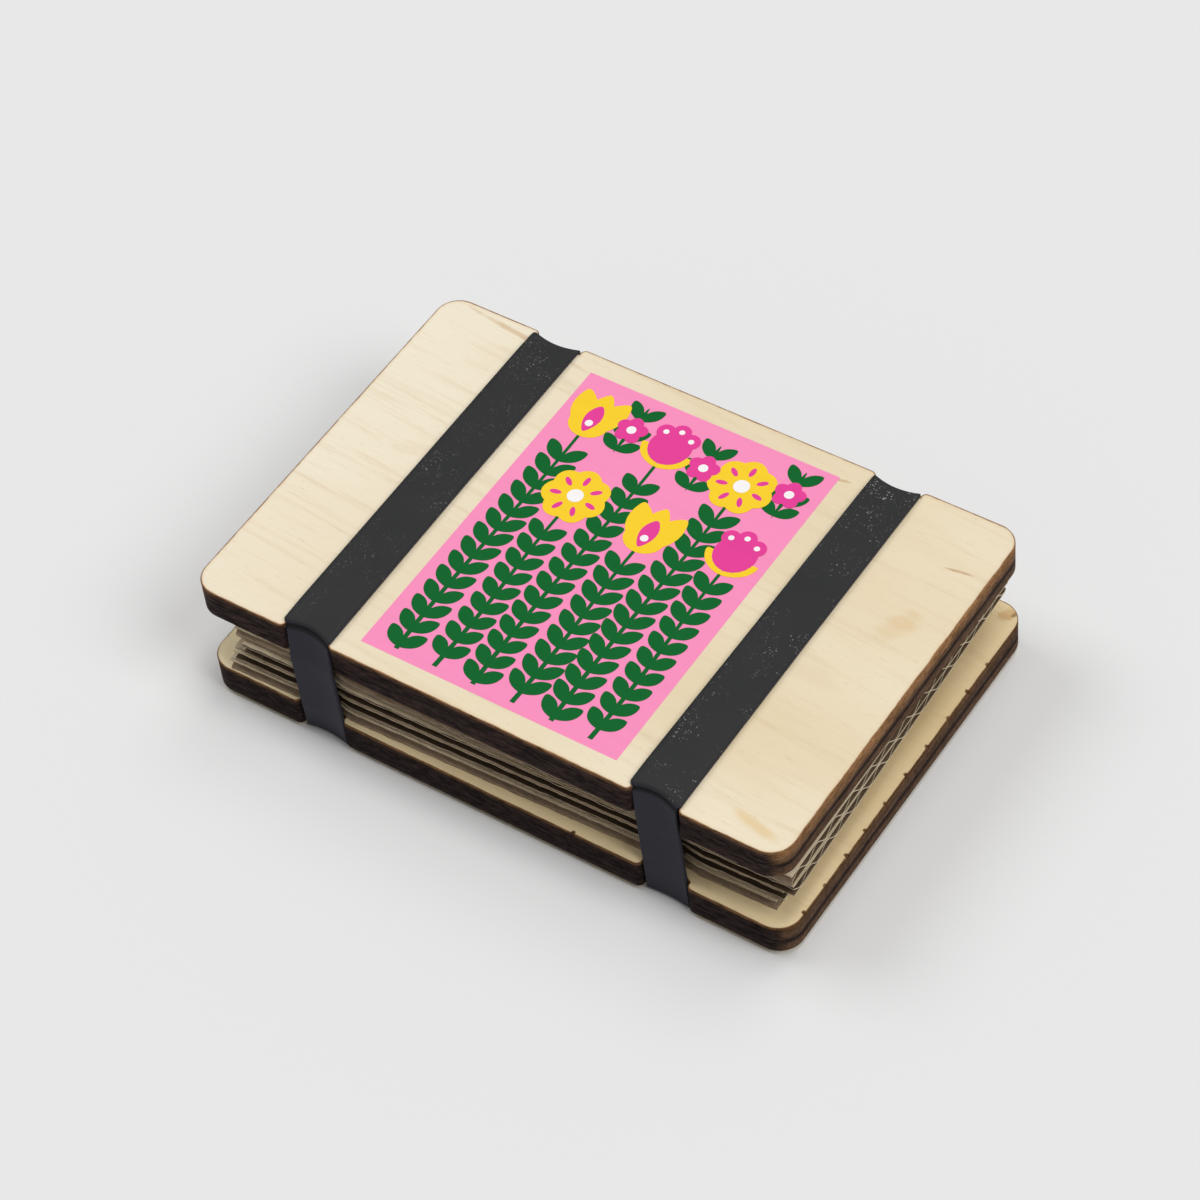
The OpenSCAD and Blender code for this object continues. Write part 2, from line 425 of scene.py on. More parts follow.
@dataclass(frozen=True)
class InnerTube:
    """Black rubber, cut from an inner tube, with dust in its pores."""

    name: str
    dust: float
    seed: float = 0.0

    def material(self) -> Material:
        """Charcoal rubber with faint clouds, pale specks, a bluish painted light on the upright sides, and
        painted shade under the front fold.

        Returns:
            The material.
        """
        s = Shader(self.name)
        clouds = s.noise(60, shift=(self.seed, 0, 0))
        skin = s.noise(2400, 3.0)
        colour = s.mix(clouds, srgb(36, 37, 38), srgb(54, 54, 54))
        upright = s.range(s.facing("Z"), 0.35, 0.8, smooth=True)
        # Painted light: the upright sides take a bluish tint, as they catch the light differently from the
        # top.
        colour = s.mix(upright, srgb(50, 50, 59), colour)
        patch = s.range(s.noise(75, 4.0, 0.8, shift=(0, self.seed, 0)), 0.46, 0.62)
        dusty = s.range(upright, 0.0, 1.0, 0.12 * self.dust, self.dust)
        for scale, rare in ((900, 0.66), (1500, 0.5), (2300, 0.4)):
            cells = s.node("TexVoronoi", {"Vector": s.stretched(scale, 0, (self.seed, 0, 0)), "Scale": 1.0},
                           feature="F1").outputs
            dots = s.range(cells["Distance"], 0.12, 0.26, 1.0, 0.0)
            chosen = s.range(cells["Color"], rare, rare + 0.3)
            amount = s.math("MULTIPLY", s.math("MULTIPLY", dots, chosen), patch)
            colour = s.mix(s.math("MULTIPLY", amount, dusty, clamp=True), colour, srgb(180, 178, 172))
        under_fold = s.math("ABSOLUTE", s.math("SUBTRACT", s.axis("Z"), (SIZES.top_top - 0.35) * MM))
        shade = s.range(under_fold, 0.1 * MM, 0.8 * MM, 0.7, 0.0, smooth=True)
        at_front = s.range(s.axis("Y"), -36.6 * MM, -36.0 * MM, 1.0, 0.0)
        colour = s.mix(s.math("MULTIPLY", shade, at_front), colour, srgb(10, 10, 12))
        s.bump(skin, 0.025, 0.5)
        s.bump(clouds, 0.25, 0.3)
        return s.paint(colour, s.range(clouds, 0.3, 0.7, 0.6, 0.72), 0.18)


@dataclass(frozen=True)
class Paper:
    """Grey-brown recycled paper, as of the cardboards and the blotting papers."""

    name: str
    pale: Colour
    dark: Colour
    flecks: float = 0.4
    streaks: float = 0.22

    def material(self) -> Material:
        """Clouds, fibres and flecks.

        Returns:
            The material.
        """
        s = Shader(self.name)
        clouds, specks = s.noise(45), s.noise(2200, 2.0, 0.5)
        fibres = s.noise((420, 2600, 3400), 3.0, 0.6, 12.0)
        colour = s.mix(clouds, self.pale, self.dark)
        shadow = tuple(c * 0.5 for c in self.dark)
        colour = s.mix(s.range(fibres, 0.42, 0.72, 0.0, self.streaks), colour, shadow)
        colour = s.mix(s.range(specks, 0.62, 0.72, 0.0, self.flecks), colour, srgb(110, 92, 72))
        s.bump(fibres, 0.04, 0.6)
        return s.paint(colour, 0.85, 0.15)


class Ink(Enum):
    """The inks of the print, each with its colour and its place in the layers."""

    GROUND = (srgb(251, 146, 192), 0)
    LEAF = (srgb(3, 100, 41), 1)
    PETAL = (srgb(251, 210, 44), 2)
    HEART = (srgb(232, 65, 153), 3)
    SPARK = (srgb(250, 246, 246), 4)

    def material(self) -> Material:
        """Flat ink that lets a little of the wood's grain through.

        Returns:
            The material.
        """
        s = Shader(f"ink_{self.name.lower()}")
        colour, _ = self.value
        grain = s.noise((28, 620, 28), 5.0, 0.62, 5.0, (3.1, 3.1, 0), 0.35)
        deeper = tuple(c * 0.9 for c in colour)
        colour = s.mix(s.range(grain, 0.45, 0.8, 0.0, 0.5), colour, deeper)
        s.bump(grain, 0.03, 0.4)
        return s.paint(colour, s.range(grain, 0.3, 0.8, 0.55, 0.65), 0.12)


# --- Making pieces ---


def thicken(bm: BMesh, faces: Iterable[BMFace], thickness: float) -> None:
    """Extrudes flat faces upwards and turns the shape's faces outwards.

    Args:
        bm: The shape.
        faces: The faces.
        thickness: How far up.
    """
    raised = bmesh.ops.extrude_face_region(bm, geom=list(faces))["geom"]
    top = [g for g in raised if isinstance(g, BMVert)]
    bmesh.ops.translate(bm, vec=(0, 0, thickness), verts=top)
    bmesh.ops.recalc_face_normals(bm, faces=bm.faces)


def spaced(first: float, last: float, steps: int) -> list[float]:
    """Evenly spaced values from the first to the last."""
    return [first + (last - first) * i / steps for i in range(steps + 1)]


def finish_piece(bm: BMesh, name: str, materials: Iterable[Material],
                 sharp: float = 40.0) -> Object:
    """Scales a shape to metres and makes it an object of the scene, at the origin.

    Args:
        bm: The shape, which is used up.
        name: The piece's name.
        materials: Those that its faces name by number.
        sharp: Edges sharper than this, in degrees, stay sharp.

    Returns:
        The object.
    """
    bmesh.ops.scale(bm, vec=(MM, MM, MM), verts=bm.verts)
    for face in bm.faces:
        face.smooth = True
    for edge in bm.edges:
        edge.smooth = len(edge.link_faces) == 2 and edge.calc_face_angle(0.0) < math.radians(sharp)
    mesh = bpy.data.meshes.new(name)
    bm.to_mesh(mesh)
    bm.free()
    for material in materials:
        mesh.materials.append(material)
    piece = bpy.data.objects.new(name, mesh)
    bpy.context.scene.collection.objects.link(piece)
    log.info("%s: %d faces", name, len(mesh.polygons))
    return piece


# --- The boards ---


@dataclass
class PlywoodBoard:
    """One laser-cut board with its notches, burnt walls and scorched rim."""

    node: str
    body: str
    place: tuple[float, float]
    underside: float
    face: BirchFace
    wall: BurntEdge
    front_nicks: tuple[float, ...] = ()
    right_nicks: tuple[float, ...] = ()
    nick_depth: float = 0.45
    nick_width: float = 1.25
    nick_height: float = 0.9
    arris: float = 0.12
    rim: float = 0.3
    haze: float = 0.55

    def outline(self) -> list[tuple[float, float]]:
        """The cut-out's edge, counterclockwise, with a few points at each nick.

        Returns:
            Its corners.
        """
        half_l, half_w = SIZES.halves
        front = [(x, -half_w) for middle in self.front_nicks for x in self.nick_points(middle)]
        back = []
        for side in (-1, 1):
            front += [(side * SIZES.notch_x + x, y - half_w) for x, y in self.notch()]
            back += [(-side * SIZES.notch_x - x, half_w - y) for x, y in self.notch()]
        front.sort(key=lambda corner: corner[0])
        right = sorted((half_l, y) for middle in self.right_nicks for y in self.nick_points(middle))
        return [(-half_l, -half_w), *front, (half_l, -half_w), *right,
                (half_l, half_w), *back, (-half_l, half_w)]

    @staticmethod
    def notch() -> list[tuple[float, float]]:
        """The edge of one notch from left to right.

        Returns:
            For each corner, x from the notch's middle and the depth from the board's edge.
        """
        wall = SIZES.notch_mouth / 2 - SIZES.notch_corner
        sag = SIZES.notch_depth - SIZES.notch_side
        radius = (wall * wall + sag * sag) / (2 * sag)
        floor = [(x, SIZES.notch_depth - radius + math.sqrt(radius * radius - x * x))
                 for x in spaced(-wall, wall, 12)]
        return [(-wall - 1e-4, 0), *floor, (wall + 1e-4, 0)]

    def nick_points(self, middle: float) -> list[float]:
        """Places along the edge where a nick starts, is deep and ends."""
        return [middle + share * self.nick_width for share in (-0.5, -0.2, 0.3, 0.42)]

    def build(self) -> None:
        """Cuts the board, dresses it and sets it on its body."""
        bm = bmesh.new()
        heat = bm.verts.layers.float.new(SCORCH)
        bm.faces.new([bm.verts.new((x, y, 0)) for x, y in self.outline()])
        half_l, half_w = SIZES.halves
        wall = SIZES.notch_mouth / 2 - SIZES.notch_corner
        edge = [v for v in bm.verts if abs(abs(v.co.y) - half_w) < 1e-4]
        corners = [v for v in edge if abs(abs(v.co.x) - half_l) < 1e-4]
        mouths = [v for v in edge if abs(abs(abs(v.co.x) - SIZES.notch_x) - wall) < 1e-3]
        for verts, radius, segments in ((corners, SIZES.corner_radius, 14), (mouths, SIZES.notch_corner, 5)):
            bmesh.ops.bevel(bm, geom=verts, offset=radius, offset_type="OFFSET", segments=segments,
                            profile=0.5, affect="VERTICES", material=-1)
        thicken(bm, [max(bm.faces, key=lambda f: f.calc_area())], SIZES.board_thickness)
        rims = [e for e in bm.edges if abs(e.verts[0].co.z - e.verts[1].co.z) < 1e-5]
        bmesh.ops.bevel(bm, geom=rims, offset=self.arris, offset_type="OFFSET", segments=2, profile=0.5,
                        affect="EDGES", material=-1)
        for vert in bm.verts:
            vert[heat] = 1.0
        for face in bm.faces:
            face.material_index = 0 if abs(face.normal.z) > 0.99 else 1
        flats = [f for f in bm.faces if f.material_index == 0 and f.calc_area() > 1000]
        for width, left in ((self.rim, 0.45), (self.haze, 0.0)):
            bmesh.ops.inset_region(bm, faces=flats, thickness=width, use_even_offset=True)
            for vert in (v for face in flats for v in face.verts):
                vert[heat] = left
        self.chip(bm)
        bmesh.ops.translate(bm, vec=(*self.place, self.underside), verts=bm.verts)
        materials = self.face.material(), self.wall.material()
        piece = finish_piece(bm, f"{self.node}_plywood", materials)
        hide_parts(self.node)
        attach(piece, self.body)

    def chip(self, bm: BMesh) -> None:
        """Pushes the upper rim of the board in at the middle of each nick.

        Args:
            bm: The board's shape, before it is set in its place.
        """
        half_l, half_w = SIZES.halves
        heat = bm.verts.layers.float[SCORCH]
        bmesh.ops.bisect_plane(bm, geom=[*bm.verts, *bm.edges, *bm.faces], dist=1e-5,
                               plane_co=(0, 0, SIZES.board_thickness - self.nick_height), plane_no=(0, 0, 1))
        sides = ((self.front_nicks, -half_w, 0, 1), (self.right_nicks, half_l, 1, 0))
        for vert in (v for v in bm.verts if v.co.z >= SIZES.board_thickness - 0.5):
            for middles, edge, axis, across in sides:
                inward = abs(edge) - abs(vert.co[across])
                if inward > self.arris + self.rim + 0.05 or vert.co[across] * edge < 0:
                    continue
                if any(-0.25 < (vert.co[axis] - m) / self.nick_width < 0.35 for m in middles):
                    deep = 0.55 + 0.45 * math.sin(vert.co[axis] * 2.3)
                    vert.co[across] -= math.copysign(self.nick_depth * deep, edge)
                    vert[heat] = 1.0


# --- The sheets between the boards ---


@dataclass
class Sheet:
    """A sheet of the stack: where its middle lies, its turn in degrees, the height of its
    underside, how ragged its cut edges are, and how far each band crushes its long edges."""

    node: str
    middle: tuple[float, float]
    turn: float
    underside: float
    length: float = SIZES.sheet_length
    width: float = SIZES.sheet_width
    ragged: float = 0.16
    crush: tuple[float, float] = (0.65, 0.6)
    crushed_at: tuple[float, float] = (-34.6, 35.4)
    crush_reach: float = 3.9
    columns: int = 110

    def layer(self, bm: BMesh, rows: int, thickness: float, height: Callable[[float], float],
              seed: float) -> None:
        """Adds one layer with ragged edges, as a closed slab.

        Args:
            bm: The shape that it is added to.
            rows: Strips across the sheet.
            thickness: The layer's thickness.
            height: The height of its underside at a distance across the sheet.
            seed: Which raggedness it gets.
        """
        made = bmesh.ops.create_grid(bm, x_segments=self.columns, y_segments=rows, size=0.5)["verts"]
        bmesh.ops.scale(bm, vec=(self.length, self.width, 1), verts=made)
        for vert in made:
            x, y = vert.co.x, vert.co.y
            if abs(abs(y) - self.width / 2) < 1e-4:
                wave = noise.noise(Vector((x * 0.35, y, seed)))
                wave += 0.7 * noise.noise(Vector((x * 1.3, y, seed + 9)))
                crush = sum(deep * math.exp(-((x + self.middle[0] - at) / self.crush_reach) ** 4)
                            for at, deep in zip(self.crushed_at, self.crush))
                vert.co.y -= math.copysign(self.ragged * (0.7 + wave) + crush, y)
            if abs(abs(x) - self.length / 2) < 1e-4:
                wave = noise.noise(Vector((x, y * 0.4, seed)))
                wave += 0.6 * noise.noise(Vector((x, y * 1.5, seed + 5)))
                vert.co.x -= math.copysign(self.ragged * 0.6 * (0.7 + wave), x)
            vert.co.z = height(y)
        thicken(bm, {f for v in made for f in v.link_faces}, thickness)

    def set_down(self, bm: BMesh, materials: tuple[Material, ...], slot: str) -> None:
        """Turns the sheet, lays it in the stack and sets it on its body.

        Args:
            bm: The sheet's shape, with its middle at the origin.
            materials: Its materials.
            slot: Not used.
        """
        place = Matrix.Translation((*self.middle, self.underside))
        place @= Matrix.Rotation(math.radians(self.turn), 4, "Z")
        bmesh.ops.transform(bm, matrix=place, verts=bm.verts)
        piece = finish_piece(bm, f"{self.node}_sheet", materials, 50.0)
        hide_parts(self.node)
        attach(piece, self.node)


@dataclass
class CorrugatedCardboard(Sheet):
    """A cardboard with a wavy layer between two flat ones."""

    wave_start: float = 0.0
    liner: float = 0.25
    fluting: float = 0.26
    pitch: float = 5.9
    glue: float = 0.04

    def wave_height(self, y: float) -> float:
        """Where the wavy layer lies.

        Args:
            y: The distance across the sheet from its middle.

        Returns:
            The height of the layer's underside.
        """
        rise = SIZES.cardboard_thickness / 2 - self.liner - self.fluting / 2 + self.glue
        phase = 2 * math.pi * ((y + self.width / 2) / self.pitch + self.wave_start)
        return SIZES.cardboard_thickness / 2 + rise * math.cos(phase) - self.fluting / 2

    def build(self, *materials: Material) -> None:
        """Makes the three layers.

        Args:
            materials: Those of the outer faces; of the inner faces in the hollows, a copy darkened as painted
                shade or one lightened as painted light, as each cardboard is given; of the long cut edges,
                darkened as painted shade; and of the inner faces where the hollows open at the ends, in a
                lighter painted shade.
        """
        bm = bmesh.new()
        seed = self.underside * 3.7
        self.layer(bm, 6, self.liner, lambda y: 0.0, seed)
        self.layer(bm, 150, self.fluting, self.wave_height, seed + 31)
        self.layer(bm, 6, self.liner, lambda y: SIZES.cardboard_thickness - self.liner, seed + 67)
        for face in bm.faces:
            middle = face.calc_center_median()
            outer = middle.z < 0.01 or middle.z > SIZES.cardboard_thickness - 0.01
            at_end = abs(middle.x) > self.length / 2 - 4 and abs(middle.y) < self.width / 2 - 3
            # Long cut edges facing the front and the back take a darker material, as painted shade.
            if abs(face.normal.y) > 0.8:
                face.material_index = 2
            # Inner faces of the hollows take a material with painted shade, and a lighter painted shade near
            # the ends.
            elif not outer and abs(face.normal.x) < 0.5:
                face.material_index = 3 if at_end else 1
        self.set_down(bm, materials, "cardboard")


@dataclass
class BlottingPaper(Sheet):
    """A sheet of blotting paper."""

    length: float = SIZES.sheet_length - 0.9
    width: float = SIZES.sheet_width - 0.9
    ragged: float = 0.08

    def build(self, *materials: Material) -> None:
        """Makes the sheet.

        Args:
            materials: Those of its faces and of its long cut edges, which are darkened as painted shade.
        """
        bm = bmesh.new()
        self.layer(bm, 8, SIZES.paper_thickness, lambda y: 0.0, self.underside)
        for face in bm.faces:
            face.material_index = 1 if abs(face.normal.y) > 0.8 else 0
        self.set_down(bm, materials, "blotting_paper")


# --- The bands ---


@dataclass(frozen=True)
class Station:
    """A cross-section of a band: the middle of its inner face, the direction that its
    outer face looks in, in degrees from +Y towards +Z, half its width, its thickness, and
    how far its edges stand out beyond its middle."""

    x: float
    y: float
    z: float
    look: float
    half: float
    thick: float
    cup: float


@dataclass(frozen=True)
class BandShape:
    """How one band lies, in millimetres: the middles and half widths of its run over the
    top board at the front, halfway and at the back, and of its front and back sides at
    the top fold, under the top board, on the bottom board and at the bottom fold."""

    over_x: tuple[float, ...]
    over_half: tuple[float, ...]
    front_x: tuple[float, ...]
    back_x: tuple[float, float]
    side_half: float
    knee_y: float
    hem_y: float
    cups: tuple[float, float]
    tilt: float


@dataclass
class RubberBand:
    """A flat band round both boards. Its run over the top board, its run under the bottom
    board and the short stretches beside the sheets are separate pieces, so that the band
    stretches when the stack is opened."""

    node: str
    shape: BandShape
    skin: InnerTube
    wall_bodies: tuple[str, ...]
    steps: int = 44
    crease: float = 0.42
    crease_drop: float = 0.45
    crease_reach: float = 0.42
    thinned: float = 0.22
    thinned_reach: float = 2.2
    flare: float = 0.25
    flare_reach: float = 1.2
    side_thickness: float = 0.82
    back_cup: float = 0.9
    low_cup: float = 0.5
    cup_reach: float = 14.0
    wall_head: float = 0.6
    material: Material = field(init=False)

    @staticmethod
    def section() -> list[tuple[float, float]]:
        """The band's cross-section.

        Returns:
            Shares of its half width and of its thickness, all the way round.
        """
        inner = [(x, 0.0) for x in spaced(-0.97, 0.97, 10)]
        outer = [(-x, 1.0) for x, _ in inner]
        return [*inner, (1.0, 0.25), (1.0, 0.75), *outer, (-1.0, 0.75), (-1.0, 0.25)]

    def point(self, at: Station, across: float, through: float) -> Vector:
        """A point of the band's surface.

        Args:
            at: The cross-section that it lies in.
            across: Share of the half width.
            through: Share of the thickness, from the inner face.

        Returns:
            The point in millimetres.
        """
        look, depth = math.radians(at.look), through * at.thick
        front = -1 if at.y < 0 else 1
        lean = self.shape.tilt * across * at.cup if at.y < 0 else 0.0
        y = at.y + depth * math.cos(look) + front * (at.cup * across * across + lean)
        return Vector((at.x + across * at.half, y, at.z + depth * math.sin(look)))

    def sweep(self, bm: BMesh, stations: list[Station]) -> None:
        """Extrudes the cross-section from station to station and closes both ends.

        Args:
            bm: The shape that it is added to.
            stations: The cross-sections, in order.
        """
        outline = self.section()
        number = bm.verts.layers.int.get("number") or bm.verts.layers.int.new("number")
        verts = [bm.verts.new(self.point(stations[0], *share)) for share in outline]
        for index, vert in enumerate(verts):
            vert[number] = index
        first = bm.faces.new(verts)
        edges = list(first.edges)
        for station in stations[1:]:
            grown = bmesh.ops.extrude_edge_only(bm, edges=edges)["geom"]
            edges = [g for g in grown if isinstance(g, BMEdge)]
            for vert in (g for g in grown if isinstance(g, BMVert)):
                vert.co = self.point(station, *outline[vert[number]])
        bmesh.ops.contextual_create(bm, geom=edges)

    @staticmethod
    def between(values: tuple[float, ...], share: float) -> float:
        """Reads evenly spaced values at a place between them.

        Args:
            values: The values.
            share: The place, from 0 at the first to 1 at the last.

        Returns:
            The value there.
        """
        last = len(values) - 1
        index = min(last - 1, max(0, int(share * last)))
        part = share * last - index
        return values[index] + (values[index + 1] - values[index]) * part

    def over_station(self, y: float) -> Station:
        """A cross-section on top of the top board.

        Args:
            y: Where it lies, from the front to the back.

        Returns:
            The cross-section.
        """
        front, back = SIZES.top_place[1] - SIZES.floor_y, SIZES.top_place[1] + SIZES.floor_y
        share = min(1.0, max(0.0, (y - front) / (back - front)))
        reach = min(abs(y - front), abs(y - back))
        cup = (self.shape.cups[0] if y < 0 else self.back_cup) * max(0.0, 1 - reach / self.cup_reach) ** 2
        thick = SIZES.band_thickness - self.thinned * math.exp(-(reach / self.thinned_reach) ** 2)
        x, half = (self.between(values, share) for values in (self.shape.over_x, self.shape.over_half))
        return Station(x, y, SIZES.top_top, 90.0, half, thick, cup)

    def side_station(self, front: bool, z: float) -> Station:
        """A cross-section beside the boards or the sheets.

        Args:
            front: Whether it lies at the front, not at the back.
            z: Its height.

        Returns:
            The cross-section.
        """
        levels = (SIZES.top_top, SIZES.top_under, SIZES.bottom_top, SIZES.bottom_under)
        shape, high, low = self.shape, self.edge_y(front, True), self.edge_y(front, False)
        if front:
            marks = tuple(zip(shape.front_x, (high, shape.knee_y, shape.hem_y, low),
                              (shape.cups[0], 0.45, self.low_cup, shape.cups[1])))
        else:
            top_x, low_x = shape.back_x
            marks = ((top_x, high, self.back_cup), (top_x + (low_x - top_x) * 0.1, high + 0.3, 0.6),
                     (low_x, low + 0.5, 0.6), (low_x, low, self.low_cup))
        index = 0 if z > levels[1] else 1 if z > levels[2] else 2
        above, below = marks[index:index + 2]
        drop = levels[index] - levels[index + 1]
        share = (levels[index] - z) / drop
        x, y, cup = (first + (last - first) * share for first, last in zip(above, below))
        look = math.degrees(math.atan((below[1] - above[1]) / drop)) + (180 if front else 0)
        down = SIZES.top_top - z
        thick = self.side_thickness
        if front:
            thick -= self.crease * math.exp(-((down - self.crease_drop) / self.crease_reach) ** 2)
        half = shape.side_half + self.flare * math.exp(-(down / self.flare_reach) ** 2)
        return Station(x, y, z, look, half, thick, cup)

    def side(self, front: bool, first: float, last: float, steps: int) -> list[Station]:
        """Cross-sections beside the boards or the sheets, from one height to another."""
        return [self.side_station(front, z) for z in spaced(first, last, steps)]

    @staticmethod
    def edge_y(front: bool, on_top: bool) -> float:
        """Where the middle of the band's inner face leaves a board.

        Args:
            front: Whether at the front, not at the back.
            on_top: Whether the top board is meant, not the bottom one.

        Returns:
            Its y.
        """
        place, spare = (SIZES.top_place, 0.15) if on_top else (SIZES.bottom_place, 0.6)
        reach = SIZES.floor_y + spare
        return place[1] - reach if front else place[1] + reach

    @staticmethod
    def fold(before: Station, after: Station, steps: int = 8) -> list[Station]:
        """Cross-sections round a fold, between the ends of two runs.

        Args:
            before: The last cross-section of the run before the fold.
            after: The first cross-section of the run after it.
            steps: Pieces round the fold.

        Returns:
            The cross-sections between the two.
        """
        made = []
        start = math.radians(before.look)
        turn = (after.look - before.look + 180) % 360 - 180
        for share in spaced(0.0, 1.0, steps)[1:-1]:
            look = before.look + turn * share
            angle = math.radians(look)
            ease = share * share * (3 - 2 * share)
            made.append(Station(
                before.x + (after.x - before.x) * ease,
                before.y + SIZES.fold_radius * (math.cos(angle) - math.cos(start)),
                before.z + SIZES.fold_radius * (math.sin(angle) - math.sin(start)),
                look, before.half + (after.half - before.half) * ease,
                before.thick + (after.thick - before.thick) * share + 0.12 * math.sin(math.pi * share),
                before.cup + (after.cup - before.cup) * share))
        return made

    def levels(self) -> list[float]:
        """Heights at which the band is split, from the lowest to the highest."""
        return spaced(SIZES.bottom_top, SIZES.top_under - self.wall_head, len(self.wall_bodies) - 1)

    def build(self) -> None:
        """Makes the whole band."""
        self.material = self.skin.material()
        over = self.over()
        self.under()
        self.walls()
        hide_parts(self.node)

    def over(self) -> Object:
        """The run over the top board, down both its edges.

        Returns:
            Its finished piece.
        """
        low, high = self.levels()[-1], SIZES.top_top - SIZES.fold_radius
        start = self.edge_y(True, True) + SIZES.fold_radius
        end = self.edge_y(False, True) - SIZES.fold_radius
        front, back = self.side(True, low, high, 26), self.side(False, high, low, 10)
        top = [self.over_station(y) for y in spaced(start, end, self.steps)]
        stations = [*front, *self.fold(front[-1], top[0], 10), *top, *self.fold(top[-1], back[0]), *back]
        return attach(self.made(f"{self.node}_over", stations), "top_board")

    def under(self) -> None:
        """The run under the bottom board, up both its edges."""
        high, low = self.levels()[0], SIZES.bottom_under + SIZES.fold_radius
        back, front = self.side(False, high, low, 8), self.side(True, low, high, 8)
        start = self.edge_y(False, False) - SIZES.fold_radius
        end = self.edge_y(True, False) + SIZES.fold_radius
        bottom = []
        for share in spaced(0.0, 1.0, self.steps):
            y = start + (end - start) * share
            reach = min(share, 1 - share) * abs(end - start)
            wider = SIZES.band_width / 2 - self.shape.side_half
            half = self.shape.side_half + wider * min(1.0, reach / 4.0)
            x = back[-1].x + (front[0].x - back[-1].x) * share
            cup = self.low_cup if y > 0 else self.shape.cups[1]
            cup *= max(0.0, 1 - reach / self.cup_reach) ** 2
            bottom.append(Station(x, y, SIZES.bottom_under, -90.0, half, SIZES.band_thickness, cup))
        stations = [*back, *self.fold(back[-1], bottom[0]), *bottom,
                    *self.fold(bottom[-1], front[0]), *front]
        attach(self.made(f"{self.node}_under", stations), "base")

    def walls(self) -> None:
        """The stretches beside the sheets, each bending across one lift."""
        levels, bodies = self.levels(), self.wall_bodies
        for index, (low, high, below, above) in enumerate(zip(levels, levels[1:], bodies, bodies[1:])):
            runs = (self.side(front, low, high, 4) for front in (True, False))
            piece = self.made(f"{self.node}_wall_{index + 1:02d}", *runs)
            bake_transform(piece, below, above, (0, 0, low * MM), (0, 0, high * MM))

    def made(self, name: str, *runs: list[Station]) -> Object:
        """Sweeps one or more runs of the band into one piece.

        Args:
            name: The piece's name.
            runs: The cross-sections of each run.

        Returns:
            The finished piece.
        """
        bm = bmesh.new()
        for stations in runs:
            self.sweep(bm, stations)
        bmesh.ops.recalc_face_normals(bm, faces=bm.faces)
        return finish_piece(bm, name, (self.material,), 60.0)


# --- The print on the top board ---


class Blossom(Enum):
    """The kinds of blossom in the print, each with the name of the method that draws it."""

    TULIP = "tulip"
    CUP = "cup"
    ROSE = "rose"


@dataclass(frozen=True)
class Stem:
    """An upright stem of the print: its place, height, sway, blossom, and lowest leaf."""

    x: float
    height: float
    sway: float
    blossom: Blossom
    start: float = 0.0


